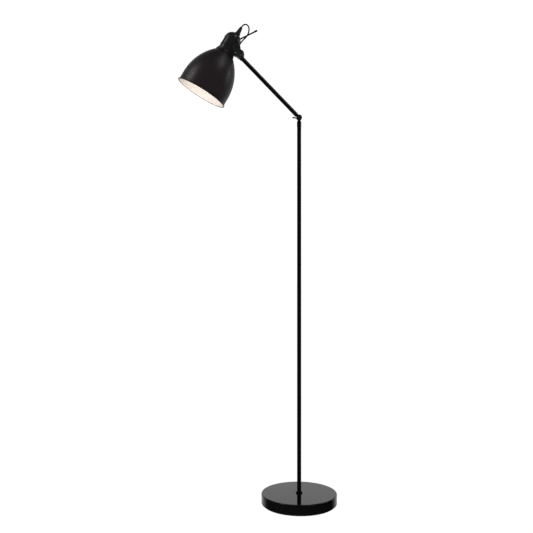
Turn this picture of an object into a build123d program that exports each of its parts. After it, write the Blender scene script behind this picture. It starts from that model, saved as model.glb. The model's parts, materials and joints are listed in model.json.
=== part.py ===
from build123d import *
import os
from math import sin, cos, tan, radians, sqrt, pi

# Adjustable arm floor lamp, in millimetres, +Z up.
# The origin is the centre of the foam pad's underside, on the floor.
# Row frame: the pole stands on Z, the arm and the head swing in the XZ plane, the head is towards -X.

# ---------------------------------------------------------------- base
base_radius = 107.5        # outside of the pressed cover
base_height = 27.5         # cover, from its lower edge to its top
cover_wall = 1.2
cover_round = 3.0          # rounded top edge
pad_height = 4.0
pad_inset = 4.0            # from the cover's outside to the pad's edge
pad_round = 0.8
plate_thickness = 1.5
weight_height = 13.0
weight_chamfer = 2.6
weight_gap = 0.3           # round the weight, inside the cover
plate_gap = 0.2
spacer_radius = 7.0        # the weight's legs, which the plate is screwed to
spacer_count = 3
spacer_circle = 70.0
spacer_turn = 30.0         # degrees, the first leg from +X
plate_screw_radius = 2.0
plate_screw_depth = 9.0
plate_screw_head = 3.5
plate_screw_short = 0.5    # screw's end to its hole's floor

# ---------------------------------------------------------------- pole
pole_radius = 6.0
tube_wall = 1.0
pole_sections = 3
elbow_height = 1100.0      # elbow pivot above the floor
insert_length = 18.0
stud_radius = 3.95
stud_bore = 2.2
stud_nut_width = 13.0
stud_nut_height = 5.0
stud_tail = 0.4            # stud past its nut
thread_margin = 2.0        # stud ends this far inside its insert
washer_radius = 11.0
washer_thickness = 1.2
collar_out = 3.2           # the foot collar outside the tube
collar_height = 5.0
collar_round = 1.8

# ---------------------------------------------------------------- elbow
sleeve_out = 0.4           # the elbow's sleeve outside the tube
sleeve_length = 16.0
sleeve_drop = 2.5          # from under the fork's ears to the sleeve's top
sleeve_round = 1.2
spigot_length = 25.0
ear_radius = 8.0
ear_thickness = 3.6
neck_width = 8.0
slot_run = 0.7             # round the tongue's edge, at the slot's floor
tongue_thickness = 5.0
tongue_radius = 7.7
friction_washer = 0.6
friction_washer_radius = 6.6
bolt_radius = 2.45
bolt_head_radius = 4.6
bolt_head_height = 2.4
bolt_head_round = 1.2
bolt_key = 1.5             # hex socket, centre to flat
bolt_key_depth = 1.4
bolt_tail = 1.5            # past the lever's hub
lever_hub_radius = 6.6
lever_hub_length = 8.5
lever_hub_round = 1.5
lever_offset = 0.5         # the lever's rod behind its hub's middle
lever_reach = 16.4         # pivot to the middle of the lever's round end
lever_radius = 1.9
lever_tip_radius = 2.7
lever_lean = 10.0          # degrees, the lever's rod above level

# ---------------------------------------------------------------- arm
arm_lean = 43.9            # degrees from upright, towards -X
arm_start = 12.2           # pivot to the tube's lower end
shoulder_length = 3.5
shoulder_round = 1.2
arm_end = 233.0            # pivot to the tube's upper end
hub_beyond = 13.2          # tube's end to the hub's centre, along the arm
hub_side = 3.7             # the hub's centre stands this far off the arm's line
hub_radius = 11.7
hub_width = 24.0
ear_reach = 15.6           # hub's centre to the tilt axis, along the arm
ear_side = 0.4
hub_round = 2.5
hub_cavity_radius = 9.2
hub_cavity_width = 18.0
bar_radius = 5.2           # the yoke's cross bar, out to both ears
bar_back = 4.6             # the bar's axis below the hub's, along the arm
neck_out = 0.9             # the yoke's neck outside the tube
lead_mouth_radius = 3.4
yoke_ear_thickness = 4.0
yoke_ear_radius = 10.0
yoke_ear_end = 6.4          # round end of the ear's strap, on the bar
screw_recess_radius = 5.2
screw_recess_depth = 2.6

# ---------------------------------------------------------------- head
head_tilt = 30.6           # degrees, the head's axis from upright
pivot_out = 1.1            # tilt axis outside the cap's wall, towards the arm
pivot_below = 19.5         # tilt axis below the upper ring
cap_radius = 23.9
cap_wall = 1.7
cap_length = 43.5
cap_ring_out = 1.3         # how far each rib stands off the cap's wall
cap_ring_height = 3.0
middle_bead_at = 22.5
middle_bead_out = 1.3
lower_bead_at = 35.5
lower_bead_out = 2.4
bead_height = 3.0
flare_out = 4.5
flare_height = 4.5
cap_flange = 2.0
cap_flange_bore = 20.2
ring_bevel = 0.8
bead_slope = 0.9
flare_slope = 2.5
side_boss_radius = 12.5
side_boss_reach = 25.5     # head's axis plane to the boss's outer face
side_boss_gap = 0.7        # hub's end to the boss's inner face
tilt_washer = 0.8
tilt_washer_radius = 9.5
tilt_screw_head = 4.6
tilt_screw_length = 8.5    # below the head
tilt_screw_sunk = 0.3      # head's top below the ear's face
tilt_screw_round = 0.7
tilt_key = 1.6
tilt_key_depth = 1.3
dome_height = 22.5
dome_wall = 1.6
lid_skirt = 4.0
lid_flange = 1.2
lid_root = 0.5             # skirt's top, inside the flange
gland_offset = 3.5
gland_boss_radius = 8.6
gland_boss_top = 20.8
gland_boss_foot = 14.5
gland_base_radius = 8.2
gland_base_height = 4.5
gland_waist_radius = 7.0
gland_tip_radius = 3.8
gland_length = 23.7
gland_bevel = 1.0
gland_stem_radius = 4.9
gland_stem_length = 11.0
gland_nut_width = 14.0
gland_nut_height = 3.5
handle_radius = 2.2
handle_length = 55.0
handle_lean = 32.7         # degrees from the head's axis
handle_side = 17.2         # the handle's root, from the head's axis
handle_up = 13.6           # the handle's root, above the upper ring
handle_tip_radius = 2.8
handle_tip_length = 9.0
handle_tip_round = 1.6
handle_root = 3.5          # threaded root inside the lid

# ---------------------------------------------------------------- shade
shade_wall = 0.8
shade_neck_radius = 27.4
shade_top_below = cap_length
shade_drop = 104.5         # shoulder to the straight skirt
shade_radius = 73.0
shade_bulge = 11.5         # how far the bell's curve stands off its chord
shade_skirt = 26.0
shade_hem_radius = 1.7     # rolled hem
shade_hem_reach = 1.5
hem_sink = 0.3             # the roll runs into the skirt's wall
neck_bevel = 0.6

# ---------------------------------------------------------------- lampholder
holder_radius = 18.6
holder_top = 10.0          # below the upper ring
holder_wall = 3.0
holder_shoulder_gap = 0.6  # in the cap's bore
holder_shoulder = 2.5
sleeve_thread_radius = 19.7
holder_mouth = 66.0        # below the upper ring
holder_floor = 34.0
holder_floor_thickness = 8.5
contact_well = 2.5
shell_bore = 13.3          # lamp cap E27
shell_wall = 0.4
shell_length = 23.0
shell_seat_bore = 6.0
shell_gap = 0.4
contact_radius = 4.5
contact_stem = 1.45
contact_height = 2.2
contact_bevel = 0.8
rivet_rim = 1.6
rivet_height = 1.0
shade_ring_radius = 24.4
shade_ring_height = 6.0
shade_ring_notches = 12
notch_radius = 1.4
notch_out = 0.6
notch_top = 1.5            # notches stop below the ring's top
terminal_side = 9.0
terminal_size = 6.0
terminal_height = 8.0
terminal_screw_radius = 1.5
terminal_screw_length = 4.5
terminal_head_height = 1.2
terminal_offset = 1.6      # wire hole and screw, each side of the post's middle
terminal_floor = 3.0       # under the holes

# ---------------------------------------------------------------- leads
lead_radius = 2.0
lead_bore = 2.1
core_radius = 0.8
grommet_height = 12.0      # inlet axis above the floor
grommet_radius = 4.6
grommet_flange_radius = 6.0
grommet_flange = 1.6
grommet_bore = 3.1
grommet_depth = 6.0
grommet_stand = 0.2        # flange's seat off the cover's widest point
yoke_grommet_radius = 4.4
yoke_grommet_flange = 2.0
yoke_grommet_depth = 6.0
arm_lead_turn = 2.0        # where the arm's lead leaves the bar's axis, from the middle
arm_lead_drop = 3.2        # and meets the arm's, below the bar
sheath_end = 5.0           # the head lead's sheath is stripped this far above the upper ring
loop_rise = 6.4            # straight out of the gland's tip
loop_entry = 4.1           # straight into the yoke
inlet_run = 18.0           # the mains lead inside its bush, then down to the plate
inlet_drop_run = 40.0
pole_lead_bend = 4.2       # tightest arc of the lead in the base
pole_lead_short = 4.0      # the lead ends this far under the elbow's sleeve
# the loop's corners between those two runs, heights above the elbow's pivot
loop_points = [(-154.6, 0.3, 266.3), (-148.3, 1.2, 265.6), (-143.7, 2.5, 260.9), (-142.6, 4.2, 252.4),
               (-144.9, 6.6, 242.4), (-149.4, 8.8, 234.5), (-155.2, 12.0, 229.7), (-161.1, 16.0, 225.5),
               (-166.2, 21.0, 221.1), (-170.6, 26.5, 215.9), (-174.0, 32.4, 210.2), (-176.0, 37.6, 203.6),
               (-175.8, 41.0, 196.6), (-172.4, 42.5, 189.4), (-168.2, 42.5, 182.3), (-166.0, 40.3, 178.6)]

# ---------------------------------------------------------------- clearances
slip = 0.05                # pressed and screwed pieces, radial
run_gap = 0.07             # turning pins in their bores, radial
side_gap = 0.08            # between turning faces
lead_gap = 0.45            # round a lead in a drilled way

# worked out
cap_bore = cap_radius - cap_wall
cap_ring_radius = cap_radius + cap_ring_out
middle_bead_radius = cap_radius + middle_bead_out
lower_bead_radius = cap_radius + lower_bead_out
flare_radius = cap_radius + flare_out
pivot_side = cap_radius + pivot_out
holder_shoulder_radius = cap_bore - holder_shoulder_gap
sleeve_radius = pole_radius + sleeve_out
neck_radius = pole_radius + neck_out
collar_radius = pole_radius + collar_out
hub_along = arm_end + hub_beyond
cover_top = pad_height + base_height
cover_under = cover_top - cover_wall
weight_under = cover_under - weight_height
plate_top = pad_height + plate_thickness
tube_bore = pole_radius - tube_wall
spigot_radius = tube_bore - slip
pole_top = elbow_height - ear_radius - sleeve_drop - sleeve_length
section_length = (pole_top - cover_top) / pole_sections
slot_half = tongue_thickness / 2 + friction_washer + side_gap
ear_outer = slot_half + ear_thickness
ear_inner_head = side_boss_reach + tilt_washer + side_gap
ear_outer_head = ear_inner_head + yoke_ear_thickness
recess_floor = ear_outer_head - screw_recess_depth
bar_along = hub_along - bar_back
side_boss_inner = hub_width / 2 + side_boss_gap
lead_mouth = ear_outer_head + yoke_grommet_flange
way_radius = lead_radius + lead_gap
bush_radius = way_radius + 0.4
base_lead_height = plate_top + lead_radius + slip


# ---------------------------------------------------------------- plain shapes
def turned(outline):
    """Solid turned about Z from (radius, height) corners."""
    return revolve(Plane.XZ * make_face(Polyline(*outline, close=True)), axis=Axis.Z)


def rod(radius, low, high):
    return Pos(0, 0, (low + high) / 2) * Cylinder(radius, high - low)


def pipe(outer, inner, low, high):
    return rod(outer, low, high) - rod(inner, low, high)


def cross(radius, near, far, x=0.0, z=0.0):
    """Round bar along Y from near to far."""
    return Pos(x, (near + far) / 2, z) * Rot(90, 0, 0) * Cylinder(radius, far - near)


def block(x0, x1, y0, y1, z0, z1):
    return Pos((x0 + x1) / 2, (y0 + y1) / 2, (z0 + z1) / 2) * Box(x1 - x0, y1 - y0, z1 - z0)


def hexagon(width, low, high):
    return extrude(Plane.XY.offset(low) * RegularPolygon(width / 2, 6, major_radius=False), high - low)


def top_edges(shape):
    return shape.edges().group_by(Axis.Z)[-1]


def on_arm(shape):
    """From the arm's own frame, pivot at the origin and tube up Z, to the row frame."""
    return Pos(0, 0, elbow_height) * Rot(0, -arm_lean, 0) * shape


def arm_point(x, y, z):
    t = radians(arm_lean)
    return (x * cos(t) - z * sin(t), y, elbow_height + x * sin(t) + z * cos(t))


# the head hangs from the tilt axis, which the yoke carries
pivot_on_arm = (hub_side + ear_side, hub_along + ear_reach)
pivot_x, _, pivot_z = arm_point(pivot_on_arm[0], 0, pivot_on_arm[1])
ring_x = pivot_x - pivot_side * cos(radians(head_tilt)) + pivot_below * sin(radians(head_tilt))
ring_z = pivot_z + pivot_side * sin(radians(head_tilt)) + pivot_below * cos(radians(head_tilt))


def on_head(shape):
    """From the head's own frame, upper ring at the origin and axis up Z, to the row frame."""
    return Pos(ring_x, 0, ring_z) * Rot(0, head_tilt, 0) * shape


def head_point(x, y, z):
    t = radians(head_tilt)
    return (ring_x + x * cos(t) + z * sin(t), y, ring_z - x * sin(t) + z * cos(t))


def corner_radii(points, share=0.45, most=1000.0):
    """Each corner's arc, as large as its two runs allow."""
    radii = []
    for before, at, after in zip(points, points[1:], points[2:]):
        first = Vector(*at) - Vector(*before)
        second = Vector(*after) - Vector(*at)
        turn = first.get_angle(second)
        radii.append(min(most, share * min(first.length, second.length) / tan(radians(turn / 2))))
    return radii


def lead_tube(name, points, radius, most=1000.0):
    """Round lead along straight runs joined by tangent arcs."""
    radii = corner_radii(points, most=most)
    path = FilletPolyline(*points, radius=radii)
    start = Plane(origin=path @ 0, z_dir=path % 0)
    tube = sweep(start * Circle(radius), path=path)
    ideal = pi * radius ** 2 * path.length
    print(name, "length", round(path.length, 1), "volume share", round(tube.volume / ideal, 4),
          "radii", [round(r, 1) for r in radii])
    return tube


# ---------------------------------------------------------------- base pieces
def base_cover():
    outer = rod(base_radius, pad_height, cover_top)
    outer = fillet(top_edges(outer), cover_round)
    inner = rod(base_radius - cover_wall, pad_height - 1, cover_under)
    inner = fillet(top_edges(inner), max(cover_round - cover_wall, 0.2))
    inlet = cross(grommet_radius + slip, base_radius - 20, base_radius + 5, z=grommet_height)
    return outer - inner - rod(stud_radius + slip, 0, cover_top + 1) - inlet


def spacer_places():
    step = 360 / spacer_count
    return [Rot(0, 0, step * i + spacer_turn) * Pos(spacer_circle, 0, 0) for i in range(spacer_count)]


def base_weight():
    weight = rod(base_radius - cover_wall - weight_gap, weight_under, cover_under)
    weight = chamfer(top_edges(weight), weight_chamfer)
    for place in spacer_places():
        weight += place * rod(spacer_radius, plate_top, weight_under)
    for place in spacer_places():
        weight -= place * rod(plate_screw_radius + slip, plate_top - 1, plate_top + plate_screw_depth)
    return weight - rod(stud_radius + slip, weight_under - 1, cover_under + 1)


def screw_cone(top_radius, low_radius):
    """Countersunk head, flush with the plate's underside."""
    return turned([(0, pad_height), (low_radius, pad_height), (top_radius, plate_top), (0, plate_top)])


def base_plate():
    plate = rod(base_radius - cover_wall - plate_gap, pad_height, plate_top)
    for place in spacer_places():
        plate -= place * rod(plate_screw_radius + slip, pad_height - 1, plate_top + 1)
        plate -= place * screw_cone(plate_screw_radius + slip, plate_screw_head + slip)
    return plate


def plate_screws():
    screw = rod(plate_screw_radius, pad_height, plate_top + plate_screw_depth - plate_screw_short)
    screw += screw_cone(plate_screw_radius, plate_screw_head)
    return [place * screw for place in spacer_places()]


def foot_pad():
    pad = rod(base_radius - pad_inset, 0, pad_height)
    return fillet(pad.edges().group_by(Axis.Z)[0], pad_round)


def inlet_grommet():
    """Rubber bush where the mains lead comes in at the back."""
    face = base_radius + grommet_stand
    bush = cross(grommet_radius, base_radius - grommet_depth, face, z=grommet_height)
    bush += cross(grommet_flange_radius, face, face + grommet_flange, z=grommet_height)
    return bush - cross(grommet_bore, base_radius - 20, base_radius + 20, z=grommet_height)


def base_stud():
    low = weight_under - washer_thickness - stud_nut_height - stud_tail
    return pipe(stud_radius, stud_bore, low, cover_top + insert_length - thread_margin)


def stud_washer():
    return pipe(washer_radius, stud_radius + slip, weight_under - washer_thickness, weight_under)


def stud_nut():
    high = weight_under - washer_thickness
    return hexagon(stud_nut_width, high - stud_nut_height, high) - rod(stud_radius + slip, 0, high + 1)


# ---------------------------------------------------------------- pole pieces
def foot_collar():
    collar = rod(collar_radius, cover_top, cover_top + collar_height)
    collar = fillet(top_edges(collar), collar_round)
    return collar - rod(pole_radius + slip, cover_top - 1, cover_top + collar_height + 1)


def pole_section(index):
    low = cover_top + section_length * index
    return pipe(pole_radius, tube_bore, low, low + section_length)


def pole_inserts():
    """Threaded plugs pressed into the tube ends."""
    plug = pipe(tube_bore - slip, stud_radius + slip, 0, insert_length)
    bottoms = [cover_top + section_length * i for i in range(pole_sections)]
    tops = [cover_top + section_length * (i + 1) - insert_length for i in range(pole_sections - 1)]
    return [Pos(0, 0, z) * plug for z in bottoms + tops]


def pole_joiners():
    """Hollow studs that screw the tubes together."""
    half = insert_length - thread_margin
    joiner = pipe(stud_radius, stud_bore, -half, half)
    return [Pos(0, 0, cover_top + section_length * (i + 1)) * joiner for i in range(pole_sections - 1)]


# ---------------------------------------------------------------- elbow pieces
def elbow_fork():
    sleeve_top = pole_top + sleeve_length
    sleeve = rod(sleeve_radius, pole_top, sleeve_top)
    sleeve = fillet(top_edges(sleeve) + sleeve.edges().group_by(Axis.Z)[0], sleeve_round)
    spigot = rod(spigot_radius, pole_top - spigot_length, pole_top + 1)
    neck = block(-neck_width / 2, neck_width / 2, -ear_outer, ear_outer, sleeve_top - 4, elbow_height)
    neck = neck & rod(ear_outer, sleeve_top - 5, elbow_height + 1)
    ears = cross(ear_radius, -ear_outer, ear_outer, z=elbow_height)
    slot_floor = elbow_height - ear_radius - slot_run
    slot = block(-20, 20, -slot_half, slot_half, slot_floor, elbow_height + 20)
    fork = sleeve + spigot + neck + ears - slot
    fork -= cross(bolt_radius + slip, -20, 20, z=elbow_height)
    return fork - rod(way_radius, pole_top - spigot_length - 1, slot_floor + 1)


def elbow_bolt():
    shank = cross(bolt_radius, -ear_outer, ear_outer + lever_hub_length + bolt_tail, z=elbow_height)
    head = cross(bolt_head_radius, -ear_outer - bolt_head_height, -ear_outer, z=elbow_height)
    head = fillet(head.edges().group_by(Axis.Y)[0], bolt_head_round)
    socket = extrude(Pos(0, -ear_outer - bolt_head_height, elbow_height) * Rot(90, 0, 0)
                     * RegularPolygon(bolt_key, 6, major_radius=False), -bolt_key_depth)
    return shank + head - socket


def elbow_washers():
    washer = cross(friction_washer_radius, 0, friction_washer, z=elbow_height)
    washer -= cross(bolt_radius + run_gap, -1, 2, z=elbow_height)
    return [Pos(0, slot_half - friction_washer, 0) * washer, Pos(0, -slot_half, 0) * washer]


def elbow_lever():
    near = ear_outer + side_gap
    far = near + lever_hub_length
    middle = (near + far) / 2 + lever_offset
    hub = cross(lever_hub_radius, near, far, z=elbow_height)
    hub = fillet(hub.edges().group_by(Axis.Y)[-1], lever_hub_round)
    # the ball's poles lie on the rod's axis, so that they meet in one clean circle
    grip = Cylinder(lever_radius, lever_reach) + Pos(0, 0, lever_reach / 2) * Sphere(lever_tip_radius)
    grip = Pos(-lever_reach / 2, 0, 0) * Rot(0, -90, 0) * grip
    grip = Pos(0, middle, elbow_height) * Rot(0, lever_lean, 0) * grip
    return hub + grip - cross(bolt_radius + run_gap, -1, far + 5, z=elbow_height)


def arm_tongue():
    disc = cross(tongue_radius, -tongue_thickness / 2, tongue_thickness / 2)
    bar = block(-neck_width / 2, neck_width / 2, -tongue_thickness / 2, tongue_thickness / 2, 0, arm_start)
    shoulder = rod(pole_radius - 0.3, arm_start - shoulder_length, arm_start)
    shoulder = fillet(shoulder.edges().group_by(Axis.Z)[0], shoulder_round)
    spigot = rod(spigot_radius, arm_start - 1, arm_start + spigot_length)
    tongue = disc + bar + shoulder + spigot
    tongue -= cross(bolt_radius + run_gap, -20, 20)
    return on_arm(tongue - rod(way_radius, arm_start - 1.5, arm_start + spigot_length + 1))


def arm_tube():
    return on_arm(pipe(pole_radius, tube_bore, arm_start, arm_end))


# ---------------------------------------------------------------- yoke
def yoke_ear(near, far):
    """Flat link from the cross bar to the tilt axis, round at both ends."""
    px, pz = pivot_on_arm
    way = Vector(px - hub_side, 0, pz - bar_along)
    lean = Vector(0, 0, 1).get_angle(way) * (1 if way.X > 0 else -1)
    strap = block(-yoke_ear_end, yoke_ear_end, near, far, 0, way.length)
    strap = Pos(hub_side, 0, bar_along) * Rot(0, lean, 0) * strap
    strap += cross(yoke_ear_end, near, far, hub_side, bar_along)
    return strap + cross(yoke_ear_radius, near, far, px, pz)


def head_yoke():
    px, pz = pivot_on_arm
    hub = cross(hub_radius, -hub_width / 2, hub_width / 2)
    hub = Pos(hub_side, 0, hub_along) * fillet(hub.edges().filter_by(GeomType.CIRCLE), hub_round)
    bar = cross(bar_radius, -ear_outer_head, ear_outer_head, hub_side, bar_along)
    neck = rod(neck_radius, arm_end, hub_along)
    spigot = rod(spigot_radius, arm_end - spigot_length, arm_end + 1)
    yoke = hub + bar + neck + spigot
    for near, far in ((ear_inner_head, ear_outer_head), (-ear_outer_head, -ear_inner_head)):
        yoke += yoke_ear(near, far)
    for near, far in ((recess_floor, ear_outer_head + 1), (-ear_outer_head - 1, -recess_floor)):
        yoke -= cross(screw_recess_radius, near, far, px, pz)
    yoke -= cross(bolt_radius + run_gap, -ear_outer_head - 1, ear_outer_head + 1, px, pz)
    yoke -= cross(hub_cavity_radius, -hub_cavity_width / 2, hub_cavity_width / 2, hub_side, hub_along)
    yoke -= cross(bush_radius, 0, ear_outer_head + 1, hub_side, bar_along)
    yoke -= rod(lead_mouth_radius, arm_end, hub_along - 3)
    return on_arm(yoke - rod(way_radius, arm_end - spigot_length - 1, hub_along - 3))


def yoke_grommet():
    bush = cross(bush_radius - slip, ear_outer_head - yoke_grommet_depth, ear_outer_head + 0.1)
    flange = cross(yoke_grommet_radius, ear_outer_head + slip, lead_mouth)
    flange = fillet(flange.edges().group_by(Axis.Y)[-1], 0.9)
    bush = bush + flange - cross(lead_bore, 0, ear_outer_head + 5)
    return on_arm(Pos(hub_side, 0, bar_along) * bush)


# ---------------------------------------------------------------- head pieces
def cap_body():
    bead_low = middle_bead_at + bead_height
    foot = lower_bead_at + bead_height
    outline = [(cap_bore, 0), (cap_ring_radius - ring_bevel, 0), (cap_ring_radius, -ring_bevel),
               (cap_ring_radius, -cap_ring_height + ring_bevel), (cap_radius, -cap_ring_height),
               (cap_radius, -middle_bead_at), (middle_bead_radius, -middle_bead_at - bead_slope),
               (middle_bead_radius, -bead_low + bead_slope), (cap_radius, -bead_low),
               (cap_radius, -lower_bead_at), (lower_bead_radius, -lower_bead_at - bead_slope),
               (lower_bead_radius, -foot), (flare_radius, -cap_length + flare_height - flare_slope),
               (flare_radius, -cap_length), (cap_flange_bore, -cap_length),
               (cap_flange_bore, -cap_length + cap_flange), (cap_bore, -cap_length + cap_flange)]
    body = turned(outline)
    boss = cross(side_boss_radius, side_boss_inner, side_boss_reach, pivot_side, -pivot_below)
    boss -= rod(cap_bore, -cap_length, cap_length)
    boss -= cross(bolt_radius + slip, side_boss_inner - 1, side_boss_reach + 1, pivot_side, -pivot_below)
    return on_head(body + boss + mirror(boss, about=Plane.XZ))


def half_oval(radius, height):
    curve = EllipticalCenterArc((0, 0), radius, height, start_angle=0, arc_size=90)
    return revolve(Plane.XZ * make_face(curve + Polyline((0, height), (0, 0), (radius, 0))), axis=Axis.Z)


def handle_way(radius, start, end):
    return Pos(handle_side, 0, handle_up) * Rot(0, handle_lean, 0) * rod(radius, start, end)


def cap_lid():
    """Domed lid of the cap, with a boss for the gland."""
    lid = half_oval(cap_radius, dome_height)
    lid += Pos(gland_offset, 0, 0) * rod(gland_boss_radius, gland_boss_foot, gland_boss_top)
    hollow = half_oval(cap_radius - dome_wall, dome_height - dome_wall)
    hollow -= Pos(gland_offset, 0, 0) * rod(gland_boss_radius, gland_boss_foot, dome_height)
    lid = lid - hollow + pipe(cap_radius, cap_bore - dome_wall, 0, lid_flange)
    lid += pipe(cap_bore - slip, cap_bore - dome_wall, -lid_skirt, lid_root)
    lid -= rod(cap_radius, gland_boss_top, dome_height + 1)
    lid -= handle_way(handle_radius + slip, -12, 8)
    return on_head(lid - Pos(gland_offset, 0, 0) * rod(gland_stem_radius + slip, 0, dome_height + 5))


def cable_gland():
    """Tapered strain relief with a threaded stem."""
    low = gland_boss_top
    tip = low + gland_length
    waist = low + gland_base_height
    outline = [(lead_bore, low - gland_stem_length), (gland_stem_radius, low - gland_stem_length),
               (gland_stem_radius, low), (gland_base_radius, low), (gland_base_radius, waist - gland_bevel),
               (gland_base_radius - gland_bevel, waist), (gland_waist_radius, waist), (gland_tip_radius, tip),
               (lead_bore, tip)]
    return on_head(Pos(gland_offset, 0, 0) * turned(outline))


def gland_nut():
    high = gland_boss_foot
    nut = hexagon(gland_nut_width, high - gland_nut_height, high) - rod(gland_stem_radius + slip, 0, high + 1)
    return on_head(Pos(gland_offset, 0, 0) * nut)


def tilt_handle():
    """Straight rod with a thicker round end, screwed into the lid's shoulder."""
    grip = handle_way(handle_tip_radius, handle_length - handle_tip_length, handle_length)
    grip = fillet(grip.edges().filter_by(GeomType.CIRCLE), handle_tip_round)
    return on_head(handle_way(handle_radius, -handle_root, handle_length - handle_tip_round) + grip)


def tilt_screws():
    """Two shouldered screws that the head turns on, heads sunk in the yoke's ears."""
    seat = recess_floor + side_gap
    shank = cross(bolt_radius, seat - tilt_screw_length, seat)
    top = ear_outer_head - tilt_screw_sunk
    head = cross(tilt_screw_head, seat, top)
    head = fillet(head.edges().group_by(Axis.Y)[-1], tilt_screw_round)
    socket = extrude(Pos(0, top, 0) * Rot(90, 0, 0) * RegularPolygon(tilt_key, 6, major_radius=False),
                     tilt_key_depth)
    screw = Pos(pivot_side, 0, -pivot_below) * (shank + head - socket)
    return [on_head(screw), on_head(mirror(screw, about=Plane.XZ))]


def tilt_washers():
    face = side_boss_reach + tilt_washer
    washer = cross(tilt_washer_radius, side_boss_reach, face, pivot_side, -pivot_below)
    washer -= cross(bolt_radius + slip, side_boss_reach - 1, face + 1, pivot_side, -pivot_below)
    return [on_head(washer), on_head(mirror(washer, about=Plane.XZ))]


# ---------------------------------------------------------------- shade
def bell_curve(start, end, bulge):
    """Arc between two (radius, height) points, standing bulge off its chord, outwards."""
    dx = end[0] - start[0]
    dy = end[1] - start[1]
    run = sqrt(dx * dx + dy * dy)
    middle = ((start[0] + end[0]) / 2 - dy / run * bulge, (start[1] + end[1]) / 2 + dx / run * bulge)
    return ThreePointArc(start, middle, end)


def shade():
    top = -shade_top_below
    shoulder = (shade_neck_radius, top - shade_wall)
    waist = (shade_radius, top - shade_drop)
    hem = top - shade_drop - shade_skirt
    inner_shoulder = (shade_neck_radius - 1.2 * shade_wall, top - shade_wall)
    inner_waist = (shade_radius - shade_wall, top - shade_drop)
    outline = bell_curve(shoulder, waist, shade_bulge)
    outline += Polyline(waist, (shade_radius, hem), (shade_radius - shade_wall, hem), inner_waist)
    outline += bell_curve(inner_waist, inner_shoulder, -shade_bulge)
    outline += Polyline(inner_shoulder, (cap_flange_bore, top - shade_wall), (cap_flange_bore, top),
                        (shade_neck_radius - neck_bevel, top), shoulder)
    bell = revolve(Plane.XZ * make_face(outline), axis=Axis.Z)
    roll = Plane.XZ * Pos(shade_radius + shade_hem_reach - hem_sink, hem) * Circle(shade_hem_radius)
    return on_head(bell + revolve(roll, axis=Axis.Z))


def shade_ring():
    """Threaded ring that clamps the shade to the cap."""
    top = -shade_top_below - shade_wall
    ring = pipe(shade_ring_radius, sleeve_thread_radius + slip, top - shade_ring_height, top)
    for i in range(shade_ring_notches):
        notch = Rot(0, 0, 360 / shade_ring_notches * i) * Pos(shade_ring_radius + notch_out, 0, 0)
        ring -= notch * rod(notch_radius, top - shade_ring_height - 1, top - notch_top)
    return on_head(ring)


# ---------------------------------------------------------------- lampholder
def holder_body():
    """Insulating lampholder, with a shoulder on the cap's flange and a threaded sleeve below."""
    seat = -cap_length + cap_flange
    floor_low = -holder_floor - holder_floor_thickness
    bore = shell_bore + shell_wall + shell_gap
    outline = [(contact_stem + slip, -holder_floor), (holder_radius - holder_wall, -holder_floor),
               (holder_radius - holder_wall, -holder_top), (holder_radius, -holder_top),
               (holder_radius, seat + holder_shoulder), (holder_shoulder_radius, seat + holder_shoulder),
               (holder_shoulder_radius, seat), (sleeve_thread_radius, seat),
               (sleeve_thread_radius, -holder_mouth), (bore, -holder_mouth), (bore, floor_low),
               (contact_radius + 0.6, floor_low), (contact_radius + 0.6, floor_low + contact_well),
               (contact_stem + slip, floor_low + contact_well)]
    return on_head(turned(outline))


def screw_shell():
    top = -holder_floor - holder_floor_thickness
    outside = shell_bore + shell_wall
    outline = [(shell_seat_bore, top), (outside, top), (outside, top - shell_length),
               (shell_bore, top - shell_length), (shell_bore, top - shell_wall),
               (shell_seat_bore, top - shell_wall)]
    return on_head(turned(outline))


def centre_contact():
    """Riveted contact in the well of the holder's floor."""
    well_top = -holder_floor - holder_floor_thickness + contact_well
    face = well_top - contact_height
    rivet_top = -holder_floor + rivet_height
    rim = contact_stem + rivet_rim
    outline = [(0, face), (contact_radius - contact_bevel, face), (contact_radius, face + contact_bevel),
               (contact_radius, well_top), (contact_stem, well_top), (contact_stem, -holder_floor),
               (rim, -holder_floor), (rim, rivet_top), (0, rivet_top)]
    return on_head(turned(outline))


def terminals():
    half = terminal_size / 2
    top = -holder_floor + terminal_height
    low = -holder_floor + terminal_floor
    post = block(-half, half, -half, half, -holder_floor, top)
    post -= Pos(0, terminal_offset, 0) * rod(core_radius + 0.3, low, top + 1)
    post -= Pos(0, -terminal_offset, 0) * rod(terminal_screw_radius + slip, low, top + 1)
    return [on_head(Pos(side * terminal_side, 0, 0) * post) for side in (-1, 1)]


def terminal_screws():
    top = -holder_floor + terminal_height
    screw = rod(terminal_screw_radius, top - terminal_screw_length, top + terminal_head_height)
    screw = Pos(0, -terminal_offset, 0) * screw
    return [on_head(Pos(side * terminal_side, 0, 0) * screw) for side in (-1, 1)]


# ---------------------------------------------------------------- leads
def pole_lead():
    """From the inlet, under the weight and up the pole to the elbow."""
    inside = base_radius - grommet_depth
    points = [(0, inside - 1, grommet_height),
              (0, inside - inlet_run, grommet_height),
              (0, inside - inlet_drop_run, base_lead_height),
              (0, 0, base_lead_height),
              (0, 0, pole_top - pole_lead_short)]
    return lead_tube("pole_lead", points, lead_radius, most=pole_lead_bend)


def arm_lead():
    """From the yoke's grommet, through the hub and down the arm."""
    points = [arm_point(hub_side, lead_mouth, bar_along),
              arm_point(hub_side, arm_lead_turn, bar_along),
              arm_point(0, 0, bar_along - arm_lead_drop),
              arm_point(0, 0, arm_start + 2)]
    return lead_tube("arm_lead", points, lead_radius)


def holder_lead():
    start = gland_boss_top + gland_length
    return on_head(Pos(gland_offset, 0, 0) * rod(lead_radius, sheath_end, start))


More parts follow.
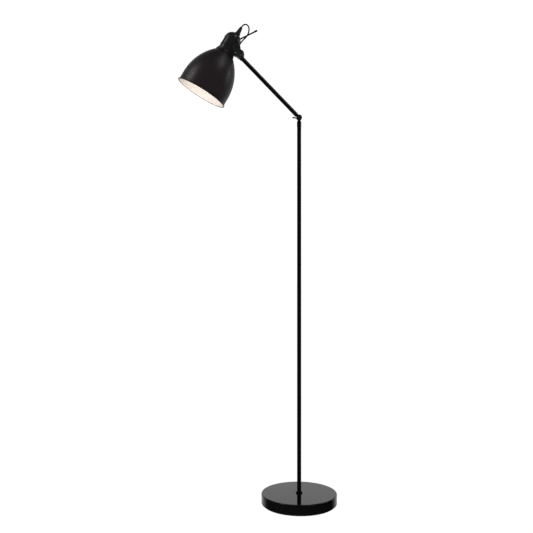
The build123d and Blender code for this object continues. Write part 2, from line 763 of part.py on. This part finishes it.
def holder_cores():
    cores = []
    for side in (-1, 1):
        near = gland_offset + side * (core_radius + 0.1)
        far = side * terminal_side
        points = [(near, 0, sheath_end), (near, 0, -2), (far, terminal_offset, -14),
                  (far, terminal_offset, -holder_floor + terminal_floor + 1)]
        cores.append(on_head(lead_tube("core", points, core_radius)))
    return cores


def head_cable():
    """Loose loop from the gland's tip, round the back of the cap, into the yoke."""
    tip_height = gland_boss_top + gland_length
    points = [head_point(gland_offset, 0, tip_height), head_point(gland_offset, 0, tip_height + loop_rise)]
    points += [(x, y, z + elbow_height) for x, y, z in loop_points]
    points += [arm_point(hub_side, lead_mouth + loop_entry, bar_along)]
    points += [arm_point(hub_side, lead_mouth, bar_along)]
    return lead_tube("head_cable", points, lead_radius)


# ---------------------------------------------------------------- nodes
nodes = {
    "base_cover": base_cover, "base_weight": base_weight, "base_plate": base_plate,
    "plate_screws": plate_screws, "foot_pad": foot_pad, "inlet_grommet": inlet_grommet,
    "base_stud": base_stud, "stud_washer": stud_washer, "stud_nut": stud_nut, "foot_collar": foot_collar,
    "pole_inserts": pole_inserts, "pole_joiners": pole_joiners, "pole_lead": pole_lead,
    "elbow_fork": elbow_fork, "elbow_bolt": elbow_bolt, "elbow_washers": elbow_washers,
    "elbow_lever": elbow_lever, "arm_tongue": arm_tongue, "arm_tube": arm_tube, "arm_lead": arm_lead,
    "head_yoke": head_yoke, "yoke_grommet": yoke_grommet, "tilt_screws": tilt_screws,
    "tilt_washers": tilt_washers, "cap_body": cap_body, "cap_lid": cap_lid, "cable_gland": cable_gland,
    "gland_nut": gland_nut, "tilt_handle": tilt_handle, "shade": shade, "shade_ring": shade_ring,
    "holder_body": holder_body, "screw_shell": screw_shell, "centre_contact": centre_contact,
    "terminals": terminals, "terminal_screws": terminal_screws, "holder_lead": holder_lead,
    "holder_cores": holder_cores, "head_cable": head_cable,
}
section_names = ["pole_lower", "pole_middle", "pole_upper"]

os.makedirs("parts", exist_ok=True)
for name, make in nodes.items():
    made = make()
    export_step(Compound(children=made) if isinstance(made, list) else made, f"parts/{name}.step")
for index, name in enumerate(section_names):
    export_step(pole_section(index), f"parts/{name}.step")
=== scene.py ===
import bpy
import json
import math
from mathutils import Matrix, Vector


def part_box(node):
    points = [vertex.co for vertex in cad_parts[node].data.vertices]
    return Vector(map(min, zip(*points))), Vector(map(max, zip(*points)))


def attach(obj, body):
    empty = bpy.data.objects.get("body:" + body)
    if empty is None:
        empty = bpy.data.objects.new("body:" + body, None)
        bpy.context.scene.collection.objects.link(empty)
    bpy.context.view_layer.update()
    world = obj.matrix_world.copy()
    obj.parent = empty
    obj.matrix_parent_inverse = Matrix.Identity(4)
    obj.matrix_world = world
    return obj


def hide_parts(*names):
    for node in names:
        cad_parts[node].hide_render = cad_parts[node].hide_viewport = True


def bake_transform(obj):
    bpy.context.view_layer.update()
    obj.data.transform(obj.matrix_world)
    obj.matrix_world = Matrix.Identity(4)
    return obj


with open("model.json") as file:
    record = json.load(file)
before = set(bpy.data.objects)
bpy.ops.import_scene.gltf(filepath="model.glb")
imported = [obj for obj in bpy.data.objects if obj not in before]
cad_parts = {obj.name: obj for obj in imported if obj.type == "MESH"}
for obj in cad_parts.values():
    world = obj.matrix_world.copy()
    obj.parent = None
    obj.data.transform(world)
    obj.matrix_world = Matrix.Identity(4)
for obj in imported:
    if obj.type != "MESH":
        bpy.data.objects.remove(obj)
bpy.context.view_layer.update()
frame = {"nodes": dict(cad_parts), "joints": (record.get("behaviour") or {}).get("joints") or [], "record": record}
mm = 0.001

mounts = {m["name"]: m for m in frame["record"]["mounts"]}
print("frame loaded:", len(frame["nodes"]), "nodes")


def clearSelection():
    if bpy.context.mode != "OBJECT":
        bpy.ops.object.mode_set(mode="OBJECT")
    bpy.ops.object.select_all(action="DESELECT")


clearSelection()

# places taken from the frame
socketMount = mounts["lamp_socket"]
ringAboveSocket = 54 * mm
elbowHeight = next(j for j in frame["joints"] if j["name"] == "elbow")["pos_m"][2]
headUp = -Vector(socketMount["axis"]).normalized()
ringCentre = Vector(socketMount["pos_m"]) + headUp * ringAboveSocket   # the cap's upper ring
headLean = math.atan2(headUp.x, headUp.z)
headPlace = Matrix.Translation(ringCentre) @ Matrix.Rotation(headLean, 4, "Y")


# small helpers for shaping
turned = {"seed": 0.001, "weld": 0.000002, "smoothAngle": 38}


def arcPoints(centre, radius, fromDeg, toDeg, count):
    # points on an arc in the (radius, height) plane, in mm
    steps = [fromDeg + (toDeg - fromDeg) * i / (count - 1) for i in range(count)]
    return [(centre[0] + radius * math.cos(math.radians(a)), centre[1] + radius * math.sin(math.radians(a)))
            for a in steps]


def turnProfile(name, profile, steps):
    # one vertex, extruded round the closed outline, then spun about Z
    clearSelection()
    first = profile[0]
    bpy.ops.mesh.primitive_plane_add(size=turned["seed"], location=(first[0] * mm, 0, first[1] * mm))
    piece = bpy.context.active_object
    piece.name = name
    bpy.ops.object.transform_apply(location=True)
    bpy.ops.object.mode_set(mode="EDIT")
    bpy.ops.mesh.select_all(action="SELECT")
    bpy.ops.mesh.merge(type="CENTER")
    for a, b in zip(profile, profile[1:] + profile[:1]):
        step = ((b[0] - a[0]) * mm, 0, (b[1] - a[1]) * mm)
        bpy.ops.mesh.extrude_region_move(TRANSFORM_OT_translate={"value": step})
    bpy.ops.mesh.select_all(action="SELECT")
    bpy.ops.mesh.spin(steps=steps, angle=2 * math.pi, center=(0, 0, 0), axis=(0, 0, 1))
    bpy.ops.mesh.select_all(action="SELECT")
    bpy.ops.mesh.remove_doubles(threshold=turned["weld"])
    bpy.ops.mesh.normals_make_consistent(inside=False)
    bpy.ops.object.mode_set(mode="OBJECT")
    bpy.ops.object.shade_smooth_by_angle(angle=math.radians(turned["smoothAngle"]))
    return piece


def settle(piece, place):
    # the place goes into the mesh, the object stays at the origin
    piece.data.transform(place @ piece.matrix_world)
    piece.matrix_world = Matrix.Identity(4)


# finishes
cloudy = {"scale": 38, "detail": 5, "from": 0.3, "to": 0.7, "peelDetail": 3}
plated = {"stretch": 0.08, "detail": 6, "glossLow": 0.7, "glossHigh": 1.4, "bump": 0.25, "height": 0.05}
moulded = {"cloudScale": 60, "cloudDetail": 4, "bump": 0.4}


def newMaterial(name):
    material = bpy.data.materials.new(name)
    material.use_nodes = True
    nodes = material.node_tree.nodes
    shader = nodes["Principled BSDF"]
    return material, nodes, material.node_tree.links, shader


def lacquer(name, dark, light, rough, roughSpread, peelScale, peelHeight, ior=1.5):
    # sprayed lacquer: cloudy colour, uneven gloss and a fine orange peel
    material, nodes, links, shader = newMaterial(name)
    place = nodes.new("ShaderNodeTexCoord")
    cloud = nodes.new("ShaderNodeTexNoise")
    cloud.inputs["Scale"].default_value = cloudy["scale"]
    cloud.inputs["Detail"].default_value = cloudy["detail"]
    links.new(place.outputs["Object"], cloud.inputs["Vector"])
    tint = nodes.new("ShaderNodeMix")
    tint.data_type = "RGBA"
    tint.inputs["A"].default_value = (*dark, 1)
    tint.inputs["B"].default_value = (*light, 1)
    links.new(cloud.outputs["Fac"], tint.inputs["Factor"])
    links.new(tint.outputs["Result"], shader.inputs["Base Color"])
    gloss = nodes.new("ShaderNodeMapRange")
    gloss.inputs["From Min"].default_value = cloudy["from"]
    gloss.inputs["From Max"].default_value = cloudy["to"]
    gloss.inputs["To Min"].default_value = rough - roughSpread
    gloss.inputs["To Max"].default_value = rough + roughSpread
    links.new(cloud.outputs["Fac"], gloss.inputs["Value"])
    links.new(gloss.outputs["Result"], shader.inputs["Roughness"])
    peel = nodes.new("ShaderNodeTexNoise")
    peel.inputs["Scale"].default_value = peelScale
    peel.inputs["Detail"].default_value = cloudy["peelDetail"]
    links.new(place.outputs["Object"], peel.inputs["Vector"])
    bump = nodes.new("ShaderNodeBump")
    bump.inputs["Strength"].default_value = 1.0
    bump.inputs["Distance"].default_value = peelHeight * mm
    links.new(peel.outputs["Fac"], bump.inputs["Height"])
    links.new(bump.outputs["Normal"], shader.inputs["Normal"])
    shader.inputs["IOR"].default_value = ior
    return material


def plainMetal(name, colour, rough, streakScale):
    # drawn or plated metal with fine streaks
    material, nodes, links, shader = newMaterial(name)
    place = nodes.new("ShaderNodeTexCoord")
    stretch = nodes.new("ShaderNodeMapping")
    stretch.inputs["Scale"].default_value = (1, 1, plated["stretch"])
    streak = nodes.new("ShaderNodeTexNoise")
    streak.inputs["Scale"].default_value = streakScale
    streak.inputs["Detail"].default_value = plated["detail"]
    links.new(place.outputs["Object"], stretch.inputs["Vector"])
    links.new(stretch.outputs["Vector"], streak.inputs["Vector"])
    gloss = nodes.new("ShaderNodeMapRange")
    gloss.inputs["To Min"].default_value = rough * plated["glossLow"]
    gloss.inputs["To Max"].default_value = rough * plated["glossHigh"]
    links.new(streak.outputs["Fac"], gloss.inputs["Value"])
    links.new(gloss.outputs["Result"], shader.inputs["Roughness"])
    bump = nodes.new("ShaderNodeBump")
    bump.inputs["Strength"].default_value = plated["bump"]
    bump.inputs["Distance"].default_value = plated["height"] * mm
    links.new(streak.outputs["Fac"], bump.inputs["Height"])
    links.new(bump.outputs["Normal"], shader.inputs["Normal"])
    shader.inputs["Base Color"].default_value = (*colour, 1)
    shader.inputs["Metallic"].default_value = 1.0
    return material


def mouldedStuff(name, dark, light, rough, grainScale, grainHeight):
    # plastic, rubber or foam with a fine moulded grain
    material, nodes, links, shader = newMaterial(name)
    place = nodes.new("ShaderNodeTexCoord")
    grain = nodes.new("ShaderNodeTexVoronoi")
    grain.inputs["Scale"].default_value = grainScale
    cloud = nodes.new("ShaderNodeTexNoise")
    cloud.inputs["Scale"].default_value = moulded["cloudScale"]
    cloud.inputs["Detail"].default_value = moulded["cloudDetail"]
    for texture in (grain, cloud):
        links.new(place.outputs["Object"], texture.inputs["Vector"])
    tint = nodes.new("ShaderNodeMix")
    tint.data_type = "RGBA"
    tint.inputs["A"].default_value = (*dark, 1)
    tint.inputs["B"].default_value = (*light, 1)
    links.new(cloud.outputs["Fac"], tint.inputs["Factor"])
    links.new(tint.outputs["Result"], shader.inputs["Base Color"])
    bump = nodes.new("ShaderNodeBump")
    bump.inputs["Strength"].default_value = moulded["bump"]
    bump.inputs["Distance"].default_value = grainHeight * mm
    links.new(grain.outputs["Distance"], bump.inputs["Height"])
    links.new(bump.outputs["Normal"], shader.inputs["Normal"])
    shader.inputs["Roughness"].default_value = rough
    return material


finishes = {
    "base_lacquer": lacquer("baseLacquer", (0.0022, 0.0022, 0.0024), (0.0035, 0.0035, 0.0038),
                            rough=0.07, roughSpread=0.02, peelScale=260, peelHeight=0.0008),
    "tube_lacquer": lacquer("tubeLacquer", (0.0012, 0.0012, 0.0013), (0.0022, 0.0021, 0.0021),
                            rough=0.25, roughSpread=0.03, peelScale=300, peelHeight=0.0002, ior=1.42),
    "shade_lacquer": lacquer("shadeLacquer", (0.0088, 0.0062, 0.0068), (0.0122, 0.0090, 0.0097),
                             rough=0.42, roughSpread=0.03, peelScale=300, peelHeight=0.0006, ior=1.42),
    "cap_lacquer": lacquer("capLacquer", (0.0068, 0.0056, 0.0058), (0.0100, 0.0085, 0.0088),
                           rough=0.38, roughSpread=0.05, peelScale=400, peelHeight=0.0008, ior=1.42),
    "black_steel": lacquer("blackenedSteel", (0.006, 0.006, 0.006), (0.012, 0.012, 0.012),
                           rough=0.26, roughSpread=0.08, peelScale=600, peelHeight=0.003),
    "cast_iron": mouldedStuff("castIron", (0.05, 0.05, 0.05), (0.09, 0.088, 0.085),
                              rough=0.75, grainScale=500, grainHeight=0.15),
    "zinc_steel": plainMetal("zincSteel", (0.60, 0.61, 0.62), rough=0.32, streakScale=700),
    "brass": plainMetal("brassSheet", (0.78, 0.57, 0.24), rough=0.24, streakScale=600),
    "foam": mouldedStuff("blackFoam", (0.006, 0.006, 0.006), (0.012, 0.012, 0.012),
                         rough=0.9, grainScale=1500, grainHeight=0.10),
    "black_rubber": mouldedStuff("blackRubber", (0.008, 0.008, 0.008), (0.013, 0.013, 0.013),
                                 rough=0.6, grainScale=1200, grainHeight=0.01),
    "black_plastic": mouldedStuff("blackPlastic", (0.009, 0.009, 0.009), (0.014, 0.014, 0.014),
                                  rough=0.4, grainScale=1300, grainHeight=0.01),
    "white_insulator": mouldedStuff("whiteInsulator", (0.70, 0.69, 0.65), (0.78, 0.77, 0.74),
                                    rough=0.4, grainScale=900, grainHeight=0.01),
    "nylon": mouldedStuff("nylonWasher", (0.62, 0.62, 0.58), (0.70, 0.70, 0.67),
                          rough=0.5, grainScale=900, grainHeight=0.01),
    "lead_sheath": mouldedStuff("leadSheath", (0.006, 0.006, 0.006), (0.010, 0.010, 0.010),
                                rough=0.42, grainScale=1200, grainHeight=0.008),
    "core_blue": mouldedStuff("coreBlue", (0.02, 0.09, 0.40), (0.03, 0.12, 0.48),
                              rough=0.45, grainScale=1200, grainHeight=0.01),
}
yokeFinish = lacquer("yokeLacquer", (0.0060, 0.0075, 0.0072), (0.0095, 0.0115, 0.0112),
                     rough=0.38, roughSpread=0.05, peelScale=400, peelHeight=0.0008, ior=1.42)
slotOf = {s["node"]: s["material_slot"] for s in frame["record"]["subparts"]}
for nodeName, cadObject in frame["nodes"].items():
    cadObject.data.materials.clear()
    cadObject.data.materials.append(yokeFinish if nodeName == "head_yoke" else finishes[slotOf[nodeName]])
print("finishes set:", len(finishes))


# shade: pressed steel bell, dark outside and cream inside
bell = {"neckRadius": 27.4, "neckBelow": 43.5, "drop": 104.5, "radius": 73.0, "bulge": 11.5, "skirt": 26.0,
        "wall": 0.8, "hemRadius": 1.7, "hemReach": 1.2, "hemStraight": 4, "hemLip": 1.5, "rollFrom": 130,
        "rollTo": -170, "rollPoints": 22, "holeRadius": 20.2, "neckStep": 0.6, "neckInset": 0.96,
        "steps": 192, "curvePoints": 40}

painted = {"belowHem": 0.5, "flat": -0.9, "underTop": 1.5}   # where the enamel ends


def bellCurve(start, end, bulge, count):
    # arc through both ends that stands off its chord
    dx, dy = end[0] - start[0], end[1] - start[1]
    run = math.hypot(dx, dy)
    radius = (run * run / 4 + bulge * bulge) / (2 * bulge)
    mid = ((start[0] + end[0]) / 2, (start[1] + end[1]) / 2)
    normal = (-dy / run, dx / run)
    centre = (mid[0] + normal[0] * (bulge - radius), mid[1] + normal[1] * (bulge - radius))
    a0 = math.degrees(math.atan2(start[1] - centre[1], start[0] - centre[0]))
    a1 = math.degrees(math.atan2(end[1] - centre[1], end[0] - centre[0]))
    return arcPoints(centre, radius, a0, a1, count)


def makeShade(name, size):
    top, wall = -size["neckBelow"], size["wall"]
    shoulder = (size["neckRadius"], top - wall)
    waist = (size["radius"], top - size["drop"])
    hem = waist[1] - size["skirt"]
    outside = bellCurve(shoulder, waist, size["bulge"], size["curvePoints"])
    rollCentre = (size["radius"] + size["hemReach"], hem)
    roll = arcPoints(rollCentre, size["hemRadius"], size["rollFrom"], size["rollTo"], size["rollPoints"])
    innerNeck = (size["neckRadius"] - size["neckInset"], top - wall)
    inside = bellCurve(innerNeck, (waist[0] - wall, waist[1]), size["bulge"], size["curvePoints"])
    profile = [(size["holeRadius"], top), (size["neckRadius"] - size["neckStep"], top)] + outside
    profile += [(size["radius"], hem + size["hemStraight"])] + roll
    profile += [(size["radius"] - wall, hem + size["hemLip"])]
    profile += inside[::-1] + [(size["holeRadius"], top - wall)]
    piece = turnProfile(name, profile, size["steps"])
    piece.data.materials.append(finishes["shade_lacquer"])
    piece.data.materials.append(innerEnamel)
    # the pale face is the inner one: its normals point at the axis or into the bell
    for face in piece.data.polygons:
        towardsAxis = face.normal.x * face.center.x + face.normal.y * face.center.y
        inBell = (hem - painted["belowHem"]) * mm < face.center.z < (top - wall / 2) * mm
        nearTop = face.center.z > (top - wall * painted["underTop"]) * mm
        flatUnder = face.normal.z < painted["flat"] and nearTop
        insideWaist = math.hypot(face.center.x, face.center.y) < waist[0] * mm
        if inBell and insideWaist and (towardsAxis < 0 or flatUnder):
            face.material_index = 1
    settle(piece, headPlace)
    return piece


innerEnamel = lacquer("innerEnamel", (0.76, 0.69, 0.63), (0.79, 0.72, 0.66),
                      rough=0.45, roughSpread=0.02, peelScale=120, peelHeight=0.0006)
shadeBell = makeShade("shadeBell", bell)
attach(shadeBell, "head")
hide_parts("shade")
print("shade turned")


# head cable: a loose loop from the gland round the back of the cap into the yoke
cable = {"diameter": 4.0 * mm, "glandTip": (3.5, 44.5), "rise": 6.4, "entry": 4.1, "alongSteps": 10,
         "roundSteps": 6, "smoothAngle": 60,
         "blendStart": (-0.150, 0.009, 1.334), "blendEnd": (-0.172, 0.042, 1.289)}
# the loop between its two straight ends, heights above the elbow
cableLoop = [(-154.6, 0.3, 266.3), (-148.3, 1.2, 265.6), (-143.7, 2.5, 260.9), (-142.6, 4.2, 252.4),
             (-144.9, 6.6, 242.4), (-149.4, 8.8, 234.5), (-155.2, 12.0, 229.7), (-161.1, 16.0, 225.5),
             (-166.2, 21.0, 221.1), (-170.6, 26.5, 215.9), (-174.0, 32.4, 210.2), (-176.0, 37.6, 203.6),
             (-175.8, 41.0, 196.6), (-172.4, 42.5, 189.4), (-168.2, 42.5, 182.3), (-166.0, 40.3, 178.6)]
grommetLow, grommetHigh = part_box("yoke_grommet")
inletMouth = Vector(((grommetLow.x + grommetHigh.x) / 2, grommetHigh.y, (grommetLow.z + grommetHigh.z) / 2))
glandEnd = headPlace @ (Vector((cable["glandTip"][0], 0, cable["glandTip"][1])) * mm)
cableRoute = [glandEnd, glandEnd + headUp * cable["rise"] * mm]
cableRoute += [Vector(p) * mm + Vector((0, 0, elbowHeight)) for p in cableLoop]
cableRoute += [inletMouth + Vector((0, cable["entry"] * mm, 0)), inletMouth]


def splineObject(name, route):
    curve = bpy.data.curves.new(name, "CURVE")
    curve.dimensions = "3D"
    curve.resolution_u = cable["alongSteps"]
    spline = curve.splines.new("NURBS")
    spline.points.add(len(route) - 1)
    for point, at in zip(spline.points, route):
        point.co = (*at, 1)
    spline.order_u = 3
    spline.use_endpoint_u = True
    piece = bpy.data.objects.new(name, curve)
    bpy.context.scene.collection.objects.link(piece)
    return piece


def centreline(piece):
    # points of the spline, read before it has any thickness
    bpy.context.view_layer.update()
    mesh = bpy.data.meshes.new_from_object(piece.evaluated_get(bpy.context.evaluated_depsgraph_get()))
    points = [v.co.copy() for v in mesh.vertices]
    bpy.data.meshes.remove(mesh)
    return points


cableCurve = splineObject("headCable", cableRoute)
cableLine = centreline(cableCurve)
cableCurve.data.bevel_depth = cable["diameter"] / 2
cableCurve.data.bevel_resolution = cable["roundSteps"]
cableCurve.data.use_fill_caps = True
clearSelection()
cableCurve.select_set(True)
bpy.context.view_layer.objects.active = cableCurve
bpy.ops.object.convert(target="MESH")
headCable = bpy.context.active_object
bpy.ops.object.shade_smooth_by_angle(angle=math.radians(cable["smoothAngle"]))
headCable.data.materials.clear()
headCable.data.materials.append(finishes["lead_sheath"])
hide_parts("head_cable")
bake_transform(headCable)


# stage, lights, camera
stage = {"floorSize": 60, "below": 0.0005, "glow": 1.0, "tone": 0.06, "rough": 0.9}


def makeStage():
    clearSelection()
    bpy.ops.mesh.primitive_plane_add(size=stage["floorSize"], location=(0, 0, -stage["below"]))
    floor = bpy.context.active_object
    floor.name = "studioFloor"
    material, _, _, shader = newMaterial("paleFloor")
    shader.inputs["Base Color"].default_value = (*[stage["tone"]] * 3, 1)
    shader.inputs["Roughness"].default_value = stage["rough"]
    shader.inputs["Specular IOR Level"].default_value = 0.0
    shader.inputs["Emission Color"].default_value = (1, 1, 1, 1)
    shader.inputs["Emission Strength"].default_value = stage["glow"]
    floor.data.materials.append(material)
    floor.visible_glossy = False


def softbox(name, place, aim, size, power, gloss=True):
    light = bpy.data.lights.new(name, "AREA")
    light.shape = "RECTANGLE"
    light.size, light.size_y = size
    light.energy = power
    piece = bpy.data.objects.new(name, light)
    bpy.context.scene.collection.objects.link(piece)
    piece.location = place
    piece.rotation_euler = (Vector(aim) - Vector(place)).to_track_quat("-Z", "Y").to_euler()
    piece.visible_glossy = gloss


def smoothRamp(nodes, links, source, low, high, below, above):
    # rises softly from one value to another between two limits of the source
    ramp = nodes.new("ShaderNodeMapRange")
    ramp.interpolation_type = "SMOOTHSTEP"
    ramp.inputs["From Min"].default_value = low
    ramp.inputs["From Max"].default_value = high
    ramp.inputs["To Min"].default_value = below
    ramp.inputs["To Max"].default_value = above
    links.new(source, ramp.inputs["Value"])
    return ramp.outputs["Result"]


air = {"back": 0.66, "backFrom": 0.35, "backTo": 0.88, "up": 0.07, "upFrom": 0.06, "upTo": 0.75,
       "least": 0.012, "seen": 1.05}


def makeWorld():
    # white to the eye; as light, a bright wall behind the lamp, a soft ceiling and a dark room in front
    world = bpy.data.worlds.new("studioAir")
    bpy.context.scene.world = world
    world.use_nodes = True
    nodes, links = world.node_tree.nodes, world.node_tree.links
    nodes.clear()
    out = nodes.new("ShaderNodeOutputWorld")
    seen = nodes.new("ShaderNodeBackground")
    seen.inputs["Color"].default_value = (1, 1, 1, 1)
    seen.inputs["Strength"].default_value = air["seen"]
    lit = nodes.new("ShaderNodeBackground")
    lit.inputs["Color"].default_value = (1, 1, 1, 1)
    pick = nodes.new("ShaderNodeMixShader")
    ray = nodes.new("ShaderNodeLightPath")
    way = nodes.new("ShaderNodeTexCoord")
    split = nodes.new("ShaderNodeSeparateXYZ")
    links.new(way.outputs["Generated"], split.inputs["Vector"])
    depth, height = split.outputs["Y"], split.outputs["Z"]
    wall = smoothRamp(nodes, links, depth, air["backFrom"], air["backTo"], air["least"], air["back"])
    ceiling = smoothRamp(nodes, links, height, air["upFrom"], air["upTo"], 0, air["up"])
    both = nodes.new("ShaderNodeMath")
    both.operation = "ADD"
    links.new(wall, both.inputs[0])
    links.new(ceiling, both.inputs[1])
    links.new(both.outputs["Value"], lit.inputs["Strength"])
    links.new(ray.outputs["Is Camera Ray"], pick.inputs["Fac"])
    links.new(lit.outputs["Background"], pick.inputs[1])
    links.new(seen.outputs["Background"], pick.inputs[2])
    links.new(pick.outputs["Shader"], out.inputs["Surface"])


makeStage()
makeWorld()
softbox("leftBox", (-1.40, -0.45, 2.15), aim=(-0.28, 0, 1.2), size=(0.5, 0.5), power=5)
softbox("rightBox", (1.14, 0.39, 1.40), aim=(-0.2, 0, 1.2), size=(0.30, 0.6), power=2.2)
softbox("topBox", (0.9, -0.5, 2.5), aim=(-0.1, 0, 1.2), size=(0.6, 0.6), power=4)
softbox("fillBox", (-1.0, -1.7, 0.35), aim=(-0.25, 0, 1.2), size=(1.2, 1.2), power=42, gloss=False)
bpy.context.scene.view_settings.view_transform = "Standard"

camera = {"place": (-0.093, -2.034, 0.676), "lens": 48.2, "sensor": 36, "pitch": 90}
cameraData = bpy.data.cameras.new("mainCamera")
cameraData.lens = camera["lens"]
cameraData.sensor_width = camera["sensor"]
cameraObject = bpy.data.objects.new("mainCamera", cameraData)
bpy.context.scene.collection.objects.link(cameraObject)
cameraObject.location = camera["place"]
cameraObject.rotation_euler = (math.radians(camera["pitch"]), 0, 0)
bpy.context.scene.camera = cameraObject
print("stage and camera ready")
